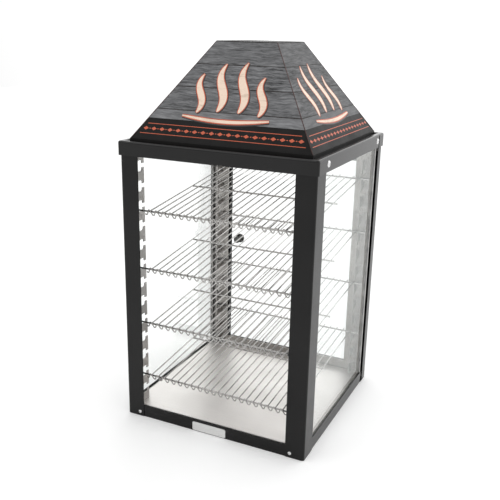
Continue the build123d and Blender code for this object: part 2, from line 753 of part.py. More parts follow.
# Sign: a hollow pyramid without its point, on a short upright foot that stands in the recess
slope_height = sign_top_height - sign_base_height
slope_x = (sign_base_x - sign_top_x) / slope_height
slope_y = (sign_base_y - sign_top_y) / slope_height
inner_x = sign_wall * math.hypot(1, slope_x)
inner_y = sign_wall * math.hypot(1, slope_y)
foot_lip = 1.5
rear_slope_normal = Vector(0, 1, slope_y).normalized()
rear_slope_up = Vector(0, -slope_y, 1).normalized()
panel_middle = Vector(0, sign_base_y, sign_base_height) + rear_slope_up * panel_up_slope
panel_plane = Plane(origin=panel_middle, x_dir=(-1, 0, 0), z_dir=rear_slope_normal)
cutout_margin = 9.0
with BuildPart() as sign_shell:
    with BuildSketch(Plane.XY.offset(deck_top)):
        Rectangle(2 * (sign_base_x + foot_lip), 2 * (sign_base_y + foot_lip))
    extrude(amount=sign_base_height - deck_top)
    with BuildSketch(Plane.XY.offset(sign_base_height)):
        Rectangle(2 * sign_base_x, 2 * sign_base_y)
    with BuildSketch(Plane.XY.offset(sign_top_height)):
        Rectangle(2 * sign_top_x, 2 * sign_top_y)
    loft(ruled=True)
    with BuildSketch(Plane.XY.offset(deck_top)):
        Rectangle(2 * (sign_base_x - inner_x), 2 * (sign_base_y - inner_y))
    extrude(amount=sign_base_height - deck_top, mode=Mode.SUBTRACT)
    with BuildSketch(Plane.XY.offset(sign_base_height)):
        Rectangle(2 * (sign_base_x - inner_x), 2 * (sign_base_y - inner_y))
    with BuildSketch(Plane.XY.offset(sign_top_height - sign_wall)):
        inner_top_x = sign_top_x - inner_x + slope_x * sign_wall
        inner_top_y = sign_top_y - inner_y + slope_y * sign_wall
        Rectangle(2 * inner_top_x, 2 * inner_top_y)
    loft(ruled=True, mode=Mode.SUBTRACT)
    with BuildSketch(panel_plane.offset(2 * sign_wall)):
        Rectangle(panel_width - 2 * cutout_margin, panel_height - 2 * cutout_margin)
    extrude(amount=-4 * sign_wall, mode=Mode.SUBTRACT)
sign_shell.part.label = "sign_shell"
export_step(sign_shell.part, "parts/sign_shell.step")

# Control panel over the cut-out in the sign's rear face
knob_place = (-58.0, 2.0)
switch_place = (44.0, 2.0)
light_place = (2.0, 2.0)
gland_place = (76.0, -4.0)
switch_width = 16.0
switch_height = 28.0
light_radius = 5.0
gland_radius = 8.0
cord_radius = 4.0
screw_spacing_x = panel_width - 9.0
screw_spacing_y = panel_height - 9.0
screw_radius = 2.0
shaft_hole = shaft_radius + 0.8
with BuildPart() as control_panel:
    with BuildSketch(panel_plane):
        Rectangle(panel_width, panel_height)
        with Locations(knob_place):
            RegularPolygon(radius=shaft_hole, side_count=12, mode=Mode.SUBTRACT)
        with Locations(switch_place):
            Rectangle(switch_width, switch_height, mode=Mode.SUBTRACT)
        with Locations(light_place):
            RegularPolygon(radius=light_radius, side_count=16, mode=Mode.SUBTRACT)
        with Locations(gland_place):
            RegularPolygon(radius=gland_radius, side_count=16, mode=Mode.SUBTRACT)
        with GridLocations(screw_spacing_x, screw_spacing_y, 2, 2):
            RegularPolygon(radius=screw_radius + moving_gap, side_count=8, mode=Mode.SUBTRACT)
    extrude(amount=sheet)
control_panel.part.label = "control_panel"
export_step(control_panel.part, "parts/control_panel.step")


# Pan-head screws: a tapered head on a face and a plain shank behind it
def add_screws(plane, places, head_radius, head_height, shank_radius, shank_length):
    with BuildPart() as screws:
        with BuildSketch(plane):
            with Locations(places):
                RegularPolygon(radius=head_radius, side_count=12)
        extrude(amount=head_height, taper=30)
        with BuildSketch(plane):
            with Locations(places):
                RegularPolygon(radius=shank_radius, side_count=8)
        extrude(amount=-shank_length)
    return screws.part


panel_corners = [
    (side_x * screw_spacing_x / 2, side_y * screw_spacing_y / 2) for side_x in (-1, 1) for side_y in (-1, 1)
]
with BuildPart() as panel_screws:
    screw_plane = panel_plane.offset(sheet)
    add(add_screws(screw_plane, panel_corners, panel_screw_head, screw_head_height, screw_radius, sheet))
panel_screws.part.label = "panel_screws"
export_step(panel_screws.part, "parts/panel_screws.step")

# Thermostat behind the panel, with the knob whose shaft turns in it
thermostat_depth = 24.0
with BuildPart() as thermostat_body:
    with BuildSketch(panel_plane):
        with Locations(knob_place):
            Rectangle(34.0, 34.0)
            Circle(shaft_radius + running_gap, mode=Mode.SUBTRACT)
    extrude(amount=-thermostat_depth)
    with BuildSketch(panel_plane.offset(-thermostat_depth)):
        with Locations(knob_place):
            with GridLocations(18.0, 1, 2, 1):
                Rectangle(6.0, 1.0)
    extrude(amount=-8.0)
thermostat_body.part.label = "thermostat_body"
export_step(thermostat_body.part, "parts/thermostat_body.step")

dial_radius = 18.0
dial_height = 15.0
dial_gap = 0.8
with BuildPart() as thermostat_knob:
    with BuildSketch(panel_plane.offset(sheet + dial_gap)):
        with Locations(knob_place):
            RegularPolygon(radius=dial_radius, side_count=24)
    extrude(amount=3.0)
    with BuildSketch(panel_plane.offset(sheet + dial_gap + 3.0)):
        with Locations(knob_place):
            RegularPolygon(radius=dial_radius - 4.0, side_count=24)
    extrude(amount=dial_height - 3.0, taper=6)
    with BuildSketch(panel_plane.offset(sheet + dial_gap + 3.0)):
        with Locations((knob_place[0], knob_place[1] + 6.0)):
            Rectangle(4.0, 16.0)
    extrude(amount=dial_height - 1.0)
    with BuildSketch(panel_plane.offset(sheet + dial_gap)):
        with Locations(knob_place):
            Circle(shaft_radius)
    extrude(amount=-(sheet + dial_gap + 0.8 * thermostat_depth))
thermostat_knob.part.label = "thermostat_knob"
export_step(thermostat_knob.part, "parts/thermostat_knob.step")

# Rocker switch: a bezel and housing with a well, and the rocker on its two stub axles
bezel = 2.0
well_wall = 1.6
axle_radius = 1.5
axle_length = 1.0
well_depth = 11.0
rocker_half = switch_height / 2 - well_wall - 1.0
rocker_throw = 16.0         # degrees from off to on
rocker_width = switch_width - 2 * well_wall - 2 * moving_gap
rest_tilt = math.radians(rocker_throw / 2)
rocker_plane = Plane(
    origin=panel_plane.from_local_coords(Vector(switch_place[0], switch_place[1], sheet)),
    x_dir=rear_slope_up * math.cos(rest_tilt) + rear_slope_normal * math.sin(rest_tilt),
    z_dir=(-1, 0, 0),
)
with BuildPart() as power_switch_housing:
    with BuildSketch(panel_plane.offset(sheet)):
        with Locations(switch_place):
            Rectangle(switch_width + 2 * bezel, switch_height + 2 * bezel)
    extrude(amount=1.5)
    with BuildSketch(panel_plane.offset(sheet)):
        with Locations(switch_place):
            Rectangle(switch_width, switch_height)
    extrude(amount=-22.0)
    with BuildSketch(panel_plane.offset(sheet + 1.5)):
        with Locations(switch_place):
            Rectangle(switch_width - 2 * well_wall, switch_height - 2 * well_wall)
    extrude(amount=-well_depth, mode=Mode.SUBTRACT)
    with BuildSketch(rocker_plane):
        Circle(axle_radius + running_gap)
    extrude(amount=rocker_width / 2 + axle_length + moving_gap, both=True, mode=Mode.SUBTRACT)
power_switch_housing.part.label = "power_switch_housing"
export_step(power_switch_housing.part, "parts/power_switch_housing.step")

rocker_drop = 6.0
rocker_dip = 1.2
rocker_rise = 4.2
with BuildPart() as power_rocker:
    with BuildSketch(rocker_plane):
        with BuildLine():
            Polyline((-rocker_half, rocker_rise), (0, rocker_dip), (rocker_half, rocker_rise))
            Polyline((rocker_half, rocker_rise), (rocker_half, 0))
            ThreePointArc((rocker_half, 0), (0, -rocker_drop), (-rocker_half, 0))
            Line((-rocker_half, 0), (-rocker_half, rocker_rise))
        make_face()
    extrude(amount=rocker_width / 2, both=True)
    with BuildSketch(rocker_plane):
        Circle(axle_radius)
    extrude(amount=rocker_width / 2 + axle_length, both=True)
power_rocker.part.label = "power_rocker"
export_step(power_rocker.part, "parts/power_rocker.step")

# Indicator light: a body through the panel with a domed lens
with BuildPart() as indicator_light:
    with BuildSketch(panel_plane.offset(sheet)):
        with Locations(light_place):
            RegularPolygon(radius=light_radius + 2, side_count=16)
    extrude(amount=1.5)
    with BuildSketch(panel_plane.offset(sheet + 1.5)):
        with Locations(light_place):
            RegularPolygon(radius=light_radius, side_count=16)
    extrude(amount=3.0, taper=20)
    with BuildSketch(panel_plane.offset(sheet)):
        with Locations(light_place):
            RegularPolygon(radius=light_radius - 0.2, side_count=16)
    extrude(amount=-16.0)
indicator_light.part.label = "indicator_light"
export_step(indicator_light.part, "parts/indicator_light.step")

# Gland for the supply cord, empty
with BuildPart() as cord_gland:
    with BuildSketch(panel_plane.offset(sheet)):
        with Locations(gland_place):
            RegularPolygon(radius=gland_radius + 3, side_count=6)
    extrude(amount=5.0)
    with BuildSketch(panel_plane.offset(sheet + 5.0)):
        with Locations(gland_place):
            RegularPolygon(radius=gland_radius, side_count=16)
    extrude(amount=6.0, taper=12)
    with BuildSketch(panel_plane.offset(sheet)):
        with Locations(gland_place):
            RegularPolygon(radius=gland_radius - 0.2, side_count=16)
    extrude(amount=-10.0)
    with BuildSketch(panel_plane.offset(-10.0)):
        with Locations(gland_place):
            RegularPolygon(radius=cord_radius, side_count=12)
    extrude(amount=30.0, mode=Mode.SUBTRACT)
cord_gland.part.label = "cord_gland"
export_step(cord_gland.part, "parts/cord_gland.step")

# Heater housing: an inverted box on the deck, over the fan
housing_top = deck_top + housing_height
with BuildPart() as heater_housing:
    with BuildSketch(Plane.XY.offset(deck_top)):
        Rectangle(2 * housing_half, 2 * housing_half)
    extrude(amount=housing_height)
    offset(amount=-1.0, openings=heater_housing.faces().sort_by(Axis.Z)[0])
    with BuildSketch(Plane.XY.offset(housing_top - 2)):
        Circle(shaft_radius + 2)
    extrude(amount=4, mode=Mode.SUBTRACT)
heater_housing.part.label = "heater_housing"
export_step(heater_housing.part, "parts/heater_housing.step")

# Fan motor on the housing, with the bore that its shaft runs in
with BuildPart() as fan_motor:
    with BuildSketch(Plane.XY.offset(housing_top)):
        Circle(motor_radius)
    extrude(amount=motor_height)
    chamfer(fan_motor.faces().sort_by(Axis.Z)[-1].edges(), length=2.5)
    with BuildSketch(Plane.XY.offset(housing_top)):
        with GridLocations(2 * motor_radius + 12, 1, 2, 1):
            Rectangle(22.0, 14.0)
    extrude(amount=2.0)
    with BuildSketch(Plane.XY.offset(housing_top)):
        Circle(shaft_radius + running_gap)
    extrude(amount=motor_height - 6, mode=Mode.SUBTRACT)
fan_motor.part.label = "fan_motor"
export_step(fan_motor.part, "parts/fan_motor.step")

# Fan wheel with its shaft
fan_low = deck_top + 3.0
fan_depth = 18.0
blade_chord = 27.0
blade_pitch = 32.0
with BuildPart() as fan_wheel:
    with BuildSketch(Plane.XY.offset(fan_low)):
        RegularPolygon(radius=fan_hub_radius, side_count=20)
    extrude(amount=fan_depth)
    for blade in range(fan_blades):
        angle = 360.0 / fan_blades * blade
        radial = Vector(1, 0, 0).rotate(Axis.Z, angle)
        tangent = Vector(0, 1, 0).rotate(Axis.Z, angle)
        blade_root = radial * (fan_hub_radius - 2) + Vector(0, 0, fan_low + fan_depth / 2)
        with BuildSketch(Plane(origin=blade_root, x_dir=tangent, z_dir=radial)):
            Rectangle(blade_chord, 1.2, rotation=blade_pitch)
        extrude(amount=fan_radius - fan_hub_radius)
    with BuildSketch(Plane.XY.offset(fan_low + fan_depth)):
        Circle(shaft_radius)
    extrude(amount=housing_top + motor_height - 10 - fan_low - fan_depth)
fan_wheel.part.label = "fan_wheel"
export_step(fan_wheel.part, "parts/fan_wheel.step")

# Heating element: a tube bent to an open ring under the deck, its legs rising through the deck
element_z = (ceiling_height + deck_under) / 2
bend_count = 16
ring_places = []
for step in range(bend_count + 1):
    ring_angle = math.radians(leg_angle - 90 + (360 - 2 * leg_angle) * step / bend_count)
    ring_x = element_radius * math.cos(ring_angle)
    ring_y = element_radius * math.sin(ring_angle)
    ring_places.append((ring_x, ring_y, element_z))
with BuildPart() as heating_element:
    with BuildLine():
        Polyline(ring_places)
    with BuildSketch(Plane(origin=(leg_x, leg_y, element_z), z_dir=(-leg_y, leg_x, 0))):
        RegularPolygon(radius=element_tube, side_count=8)
    sweep(transition=Transition.RIGHT)
    with BuildSketch(Plane.XY.offset(element_z - element_tube)):
        with Locations((-leg_x, leg_y), (leg_x, leg_y)):
            RegularPolygon(radius=element_tube, side_count=8)
    extrude(amount=deck_top + 12 - element_z + element_tube)
heating_element.part.label = "heating_element"
export_step(heating_element.part, "parts/heating_element.step")

# Terminal block on the deck behind the housing
terminal_x = -50.0
terminal_gap = 25.0         # heater housing to the middle of the block
terminal_length = 46.0
terminal_width = 20.0
terminal_base = 8.0
terminal_barrel = 8.0
terminal_step = 6.0
terminal_rise = 6.0
with BuildPart() as terminal_block:
    with BuildSketch(Plane.XY.offset(deck_top)):
        with Locations((terminal_x, housing_half + terminal_gap)):
            Rectangle(terminal_length, terminal_width)
    extrude(amount=terminal_base)
    with BuildSketch(Plane.XY.offset(deck_top + terminal_base)):
        with Locations((terminal_x, housing_half + terminal_gap)):
            with GridLocations(terminal_length / 4, 1, 4, 1):
                Rectangle(terminal_barrel, terminal_width - terminal_step)
    extrude(amount=terminal_rise)
terminal_block.part.label = "terminal_block"
export_step(terminal_block.part, "parts/terminal_block.step")

# Cap screws, two on each side, through the cap's skirt into the top frame
with BuildPart() as cap_screws:
    for side in (-1, 1):
        screw_plane = Plane(origin=(side * cap_side_face, 0, 0), x_dir=(0, side, 0), z_dir=(side, 0, 0))
        places = [(side * from_front(distance), cap_screw_height) for distance in cap_screw_places]
        screw_reach = cap_side_face - rail_inside
        add(
            add_screws(
                screw_plane, places, cap_screw_head, cap_screw_head_height, cap_screw_shank, screw_reach
            )
        )
cap_screws.part.label = "cap_screws"
export_step(cap_screws.part, "parts/cap_screws.step")

# Frame screws, low on the front posts, into the front rail
with BuildPart() as frame_screws:
    screw_places = [(side * frame_screw_x, frame_screw_height) for side in (-1, 1)]
    screw_plane = front_plane(from_front(0))
    add(
        add_screws(
            screw_plane, screw_places, frame_screw_head, screw_head_height, frame_screw_shank, 2 * sheet
        )
    )
frame_screws.part.label = "frame_screws"
export_step(frame_screws.part, "parts/frame_screws.step")
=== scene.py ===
import bpy
import bmesh
import math
from mathutils import Matrix, Vector


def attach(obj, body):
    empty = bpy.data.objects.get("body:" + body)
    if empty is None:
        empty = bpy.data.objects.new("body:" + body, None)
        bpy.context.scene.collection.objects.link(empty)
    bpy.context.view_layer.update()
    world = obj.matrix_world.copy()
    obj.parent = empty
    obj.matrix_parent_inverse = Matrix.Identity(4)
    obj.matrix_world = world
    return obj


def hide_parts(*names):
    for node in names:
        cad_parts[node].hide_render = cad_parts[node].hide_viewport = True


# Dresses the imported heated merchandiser: materials for its nodes, round wires for its racks,
# the sign's print, screw heads, the marks on the controls and the bare plate on the front.
# Named sizes are millimetres in the CAD frame, unless they say metres. MM turns them to metres.

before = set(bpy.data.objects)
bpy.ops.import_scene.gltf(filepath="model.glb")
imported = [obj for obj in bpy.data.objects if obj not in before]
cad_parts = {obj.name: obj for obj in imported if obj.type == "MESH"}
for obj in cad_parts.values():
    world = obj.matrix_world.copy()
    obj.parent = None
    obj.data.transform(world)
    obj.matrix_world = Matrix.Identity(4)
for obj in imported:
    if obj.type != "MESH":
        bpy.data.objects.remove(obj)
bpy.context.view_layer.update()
MM = 0.001

# Camera, fitted to the photograph
CAMERA_PLACE = (0.5862, -1.2769, 0.7651)    # metres
CAMERA_TURN = 25.187                        # degrees from the front towards the right
CAMERA_RISE = 17.2715                       # degrees above level
CAMERA_ROLL = 1.2131                        # degrees
CAMERA_LENS = 51.556
CAMERA_SENSOR = 36.0


def make_camera():
    turn, rise, roll = (math.radians(a) for a in (CAMERA_TURN, CAMERA_RISE, CAMERA_ROLL))
    back = Vector((math.sin(turn) * math.cos(rise), -math.cos(turn) * math.cos(rise), math.sin(rise)))
    forward = -back
    level_right = forward.cross(Vector((0, 0, 1))).normalized()
    level_up = level_right.cross(forward)
    right = math.cos(roll) * level_right + math.sin(roll) * level_up
    up = -math.sin(roll) * level_right + math.cos(roll) * level_up
    data = bpy.data.cameras.new("camera")
    data.sensor_width = CAMERA_SENSOR
    data.sensor_fit = "HORIZONTAL"
    data.lens = CAMERA_LENS
    data.clip_start = 0.05
    data.clip_end = 30.0
    camera = bpy.data.objects.new("camera", data)
    bpy.context.scene.collection.objects.link(camera)
    pose = Matrix((right, up, back)).transposed().to_4x4()
    pose.translation = Vector(CAMERA_PLACE)
    camera.matrix_world = pose
    bpy.context.scene.camera = camera


make_camera()


# Shader helpers. Each takes a node tree and returns the output socket of the node it adds.
def new_mat(name):
    m = bpy.data.materials.new(name)
    m.use_nodes = True
    nt = m.node_tree
    nt.nodes.clear()
    out = nt.nodes.new("ShaderNodeOutputMaterial")
    b = nt.nodes.new("ShaderNodeBsdfPrincipled")
    nt.links.new(b.outputs[0], out.inputs[0])
    return m, nt, b, out


def mapping(nt, vec, scale):
    mp = nt.nodes.new("ShaderNodeMapping")
    mp.inputs["Scale"].default_value = scale
    nt.links.new(vec, mp.inputs["Vector"])
    return mp.outputs[0]


def coords(nt, scale=(1, 1, 1)):
    return mapping(nt, nt.nodes.new("ShaderNodeTexCoord").outputs["Object"], scale)


def noise(nt, vec, scale, detail=3.0, rough=0.55):
    n = nt.nodes.new("ShaderNodeTexNoise")
    n.inputs["Scale"].default_value = scale
    n.inputs["Detail"].default_value = detail
    n.inputs["Roughness"].default_value = rough
    nt.links.new(vec, n.inputs["Vector"])
    return n.outputs["Fac"]


def ramp(nt, fac, stops):
    r = nt.nodes.new("ShaderNodeValToRGB")
    elements = r.color_ramp.elements
    while len(elements) < len(stops):
        elements.new(0.5)
    for element, (position, color) in zip(elements, stops):
        element.position = position
        element.color = (*color, 1.0)
    nt.links.new(fac, r.inputs["Fac"])
    return r.outputs["Color"]


def remap(nt, fac, to_min, to_max, from_min=0.0, from_max=1.0):
    r = nt.nodes.new("ShaderNodeMapRange")
    r.inputs["From Min"].default_value = from_min
    r.inputs["From Max"].default_value = from_max
    r.inputs["To Min"].default_value = to_min
    r.inputs["To Max"].default_value = to_max
    nt.links.new(fac, r.inputs["Value"])
    return r.outputs["Result"]


def math_node(nt, op, *values):
    n = nt.nodes.new("ShaderNodeMath")
    n.operation = op
    for i, v in enumerate(values):
        if isinstance(v, (int, float)):
            n.inputs[i].default_value = v
        else:
            nt.links.new(v, n.inputs[i])
    return n.outputs[0]


def vector_sum(nt, a, b):
    n = nt.nodes.new("ShaderNodeVectorMath")
    n.operation = "ADD"
    nt.links.new(a, n.inputs[0])
    nt.links.new(b, n.inputs[1])
    return n.outputs[0]


def combine(nt, **axes):
    n = nt.nodes.new("ShaderNodeCombineXYZ")
    for axis, v in axes.items():
        nt.links.new(v, n.inputs["xyz".index(axis)])
    return n.outputs[0]


def split(nt, vec):
    n = nt.nodes.new("ShaderNodeSeparateXYZ")
    nt.links.new(vec, n.inputs[0])
    return n.outputs


def mix_color(nt, fac, a, color):
    n = nt.nodes.new("ShaderNodeMix")
    n.data_type = "RGBA"
    inputs = {s.name: s for s in n.inputs if s.enabled}
    nt.links.new(fac, inputs["Factor"])
    nt.links.new(a, inputs["A"])
    if isinstance(color, tuple):
        inputs["B"].default_value = (*color, 1.0)
    else:
        nt.links.new(color, inputs["B"])
    return [s for s in n.outputs if s.enabled][0]


# A value that wanders with a noise, whose own values lie mostly between 0.3 and 0.7
def wander(nt, fac, low, high):
    return remap(nt, fac, low, high, 0.3, 0.7)


# What a surface ends with: its roughness, and a fine bump
def finish_surface(nt, b, rough, height, strength, distance):
    nt.links.new(rough, b.inputs["Roughness"])
    n = nt.nodes.new("ShaderNodeBump")
    n.inputs["Strength"].default_value = strength
    n.inputs["Distance"].default_value = distance
    nt.links.new(height, n.inputs["Height"])
    nt.links.new(n.outputs[0], b.inputs["Normal"])


def paint(name, col, rough, peel, spec=0.5):
    m, nt, b, _ = new_mat(name)
    v = coords(nt)
    high = tuple(min(1, c * 1.35 + 0.004) for c in col)
    nt.links.new(ramp(nt, noise(nt, v, 9.0, 4.0), [(0.3, col), (0.75, high)]), b.inputs["Base Color"])
    b.inputs["Specular IOR Level"].default_value = spec
    smudge = wander(nt, noise(nt, v, 28.0, 5.0, 0.65), rough * 0.75, rough * 1.35)
    finish_surface(nt, b, smudge, noise(nt, v, 650.0, 2.0), peel, 0.0006)
    return m


def brushed(name, col, rough, along, grain=0.06):
    m, nt, b, _ = new_mat(name)
    stretch = [2200.0, 2200.0, 2200.0]
    stretch["xyz".index(along)] = 30.0
    lines = noise(nt, coords(nt, tuple(stretch)), 1.0, 4.0, 0.7)
    soft = noise(nt, coords(nt), 14.0, 3.0)
    low = tuple(c * 0.92 for c in col)
    high = tuple(min(1.0, c * 1.06) for c in col)
    nt.links.new(ramp(nt, lines, [(0.3, low), (0.7, high)]), b.inputs["Base Color"])
    b.inputs["Metallic"].default_value = 1.0
    both = math_node(nt, "ADD", wander(nt, lines, -0.05, 0.05), wander(nt, soft, rough * 0.85, rough * 1.2))
    finish_surface(nt, b, both, lines, grain, 0.0004)
    return m


def soft_mat(name, col, rough, wear_scale, lift, rough_gain, grain_scale, grain, depth):
    m, nt, b, _ = new_mat(name)
    v = coords(nt)
    n = noise(nt, v, wear_scale, 4.0)
    high = tuple(min(1, c * lift[0] + lift[1]) for c in col)
    nt.links.new(ramp(nt, n, [(0.35, col), (0.7, high)]), b.inputs["Base Color"])
    wear = wander(nt, n, rough * 0.85, rough * rough_gain)
    finish_surface(nt, b, wear, noise(nt, v, grain_scale, 2.0), grain, depth)
    return m


def rubber(name, col, rough=0.6):
    return soft_mat(name, col, rough, 60.0, (1.6, 0.004), 1.15, 900.0, 0.08, 0.0005)


def plastic(name, col, rough=0.35, grain=0.05):
    return soft_mat(name, col, rough, 40.0, (1.25, 0.003), 1.2, 1400.0, grain, 0.0004)


# Clear glass: see-through face on, and a mirror at grazing angles
def pane(name):
    m, nt, b, out = new_mat(name)
    smudge = noise(nt, coords(nt), 7.0, 4.0, 0.6)
    nt.links.new(remap(nt, smudge, 0.012, 0.05, 0.35, 0.75), b.inputs["Roughness"])
    b.inputs["Base Color"].default_value = (0.93, 0.96, 0.95, 1)
    b.inputs["Specular IOR Level"].default_value = 0.5
    b.inputs["Metallic"].default_value = 1.0
    clear = nt.nodes.new("ShaderNodeBsdfTransparent")
    clear.inputs[0].default_value = (0.996, 0.999, 0.997, 1)
    weight = nt.nodes.new("ShaderNodeLayerWeight")
    weight.inputs["Blend"].default_value = 0.12
    mix = nt.nodes.new("ShaderNodeMixShader")
    nt.links.new(remap(nt, weight.outputs["Fresnel"], 0.002, 0.35), mix.inputs[0])
    nt.links.new(clear.outputs[0], mix.inputs[1])
    nt.links.new(b.outputs[0], mix.inputs[2])
    nt.links.new(mix.outputs[0], out.inputs[0])
    return m


# The sign's print: grey planks above a black band, with a plain dark top. Metres.
BAND_TOP = 0.603
PLANK_LINE = 0.619          # the lowest joint between planks
PLANK = 0.040
SIGN_EDGE = 0.7408          # the flat top starts here
JOINT_SHARE = 0.035         # of a plank's height


def sign_mat():
    m, nt, b, _ = new_mat("sign_print")
    v = coords(nt)
    z = split(nt, v)[2]
    step = math_node(nt, "DIVIDE", math_node(nt, "SUBTRACT", z, PLANK_LINE), PLANK)
    tone_node = nt.nodes.new("ShaderNodeTexWhiteNoise")
    tone_node.noise_dimensions = "1D"
    nt.links.new(math_node(nt, "FLOOR", step), tone_node.inputs["W"])
    tone = tone_node.outputs["Value"]

    # Each plank has its own piece of the grain
    shift = combine(nt, x=math_node(nt, "MULTIPLY", tone, 3.0), y=math_node(nt, "MULTIPLY", tone, 2.0))
    plank = vector_sum(nt, v, shift)
    warp = noise(nt, plank, 24.0, 3.0)
    bend = combine(nt, z=math_node(nt, "MULTIPLY", warp, 5.0))
    grain = noise(nt, vector_sum(nt, mapping(nt, plank, (34.0, 34.0, 420.0)), bend), 1.0, 6.0, 0.72)
    cloud = noise(nt, mapping(nt, plank, (16.0, 16.0, 120.0)), 1.0, 4.0, 0.6)
    mixed = math_node(nt, "ADD", math_node(nt, "MULTIPLY", grain, 0.72),
                      math_node(nt, "MULTIPLY", cloud, 0.28))
    wood = ramp(nt, mixed, [(0.36, (0.016, 0.016, 0.016)), (0.45, (0.085, 0.086, 0.089)),
                            (0.54, (0.165, 0.167, 0.172)), (0.66, (0.27, 0.272, 0.28))])
    wood = mix_color(nt, remap(nt, tone, 0.0, 0.35), wood, (0.15, 0.15, 0.153))

    # Dark joints, a paler lowest plank, and painted shade that darkens the right face
    joint = math_node(nt, "LESS_THAN", math_node(nt, "FRACT", step), JOINT_SHARE)
    dark = math_node(nt, "MULTIPLY", joint, remap(nt, warp, 0.6, 1.0, 0.3, 0.6))
    wood = mix_color(nt, dark, wood, (0.022, 0.018, 0.016))
    lowest = math_node(nt, "MULTIPLY", math_node(nt, "LESS_THAN", z, PLANK_LINE), 0.4)
    wood = mix_color(nt, lowest, wood, (0.24, 0.243, 0.25))
    # Painted shade: faces whose normal points right (X above 0.5) are mixed 30 per cent towards near black
    normal_x = split(nt, nt.nodes.new("ShaderNodeNewGeometry").outputs["Normal"])[0]
    right = math_node(nt, "MULTIPLY", math_node(nt, "GREATER_THAN", normal_x, 0.5), 0.3)
    wood = mix_color(nt, right, wood, (0.012, 0.012, 0.012))

    scuff = ramp(nt, noise(nt, v, 45.0, 5.0), [(0.3, (0.012, 0.0115, 0.0115)),
                                               (0.8, (0.017, 0.0165, 0.016))])
    col = mix_color(nt, math_node(nt, "LESS_THAN", z, BAND_TOP), wood, scuff)
    col = mix_color(nt, math_node(nt, "GREATER_THAN", z, SIGN_EDGE), col, (0.03, 0.029, 0.028))
    nt.links.new(col, b.inputs["Base Color"])
    b.inputs["Specular IOR Level"].default_value = 0.06
    finish_surface(nt, b, wander(nt, warp, 0.32, 0.46), noise(nt, v, 500.0, 2.0), 0.03, 0.0004)
    return m


def print_mat(name, col, worn, rough=0.4):
    m, nt, b, _ = new_mat(name)
    n = noise(nt, coords(nt, (30.0, 30.0, 140.0)), 1.0, 5.0, 0.65)
    nt.links.new(ramp(nt, n, [(0.32, worn), (0.48, col)]), b.inputs["Base Color"])
    finish_surface(nt, b, wander(nt, n, rough * 0.9, rough * 1.15), n, 0.03, 0.0003)
    return m


BLACK = paint("frame_black", (0.0022, 0.002, 0.002), 0.2, 0.02, 0.24)
CAP_BLACK = paint("cap_black", (0.0022, 0.002, 0.002), 0.12, 0.015, 0.3)
MOTOR = paint("motor_dark", (0.03, 0.03, 0.032), 0.5, 0.08)
STEEL_UP = brushed("upright_steel", (0.38, 0.365, 0.355), 0.34, "z")
STEEL_FLAT = brushed("pan_steel", (0.84, 0.81, 0.79), 0.44, "x", 0.05)
STEEL_JAMB = brushed("jamb_steel", (0.33, 0.31, 0.295), 0.3, "z", 0.03)
STEEL_PANEL = brushed("panel_steel", (0.58, 0.58, 0.57), 0.3, "x")
WIRE = brushed("rack_wire", (0.47, 0.455, 0.445), 0.16, "y", 0.03)
ZINC = brushed("zinc_sheet", (0.50, 0.51, 0.52), 0.36, "x", 0.08)
ELEMENT = brushed("element_sheath", (0.16, 0.14, 0.125), 0.45, "x", 0.12)
SCREW = brushed("screw_steel", (0.70, 0.70, 0.70), 0.22, "z", 0.04)
KNOB = brushed("knob_steel", (0.12, 0.118, 0.115), 0.22, "z", 0.02)
PLATE = brushed("plate_silver", (0.70, 0.70, 0.69), 0.3, "x", 0.05)
RUBBER = rubber("gasket_rubber", (0.012, 0.012, 0.012))
SEAL = rubber("glazing_channel", (0.34, 0.335, 0.33), 0.45)
GLASS = pane("pane_glass")
SIGN = sign_mat()
CREAM = print_mat("print_cream", (0.80, 0.63, 0.50), (0.58, 0.45, 0.34))
ORANGE = print_mat("print_orange", (0.52, 0.085, 0.025), (0.36, 0.055, 0.02))
DARK_RED = print_mat("print_dark_red", (0.045, 0.012, 0.009), (0.02, 0.008, 0.007))
SHADE = print_mat("print_shade", (0.008, 0.007, 0.007), (0.014, 0.013, 0.013))
PLASTIC = plastic("control_black", (0.016, 0.016, 0.017))
WHITE_MARK = plastic("mark_white", (0.75, 0.75, 0.73), 0.45, 0.02)
NYLON = plastic("nylon_white", (0.62, 0.61, 0.57), 0.5)
LAMP = plastic("lamp_red", (0.55, 0.05, 0.02), 0.15, 0.01)

NODES_BY_MAT = (
    (BLACK, "base_frame front_left_post front_right_post rear_left_post rear_right_post"),
    (BLACK, "top_frame door_frame"),
    (CAP_BLACK, "top_cap"),
    (MOTOR, "fan_motor"),
    (STEEL_UP, "front_left_upright front_right_upright rear_left_upright rear_right_upright"),
    (STEEL_FLAT, "floor_pan ceiling_panel"),
    (STEEL_JAMB, "rear_frame"),
    (STEEL_PANEL, "control_panel"),
    (WIRE, "rack_1 rack_2 rack_3 rack_4"),
    (ZINC, "upper_hinge_bracket strike_plate heater_housing fan_wheel"),
    (ELEMENT, "heating_element"),
    (SCREW, "lower_hinge_pin cap_screws frame_screws panel_screws"),
    (KNOB, "door_knob knob_screw"),
    (RUBBER, "door_glass_bead door_gasket"),
    (SEAL, "front_glass_seal left_glass_seal right_glass_seal"),
    (GLASS, "front_glass left_glass right_glass door_glass"),
    (SIGN, "sign_shell"),
    (PLASTIC, "magnet_catch cord_gland thermostat_body thermostat_knob"),
    (PLASTIC, "power_switch_housing power_rocker"),
    (NYLON, "hinge_bushes terminal_block"),
    (LAMP, "indicator_light"),
)
node_mats = {name: mat for mat, names in NODES_BY_MAT for name in names.split()}
for name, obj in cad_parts.items():
    if not obj.material_slots:
        obj.data.materials.append(node_mats[name])
    for slot in obj.material_slots:
        slot.material = node_mats[name]


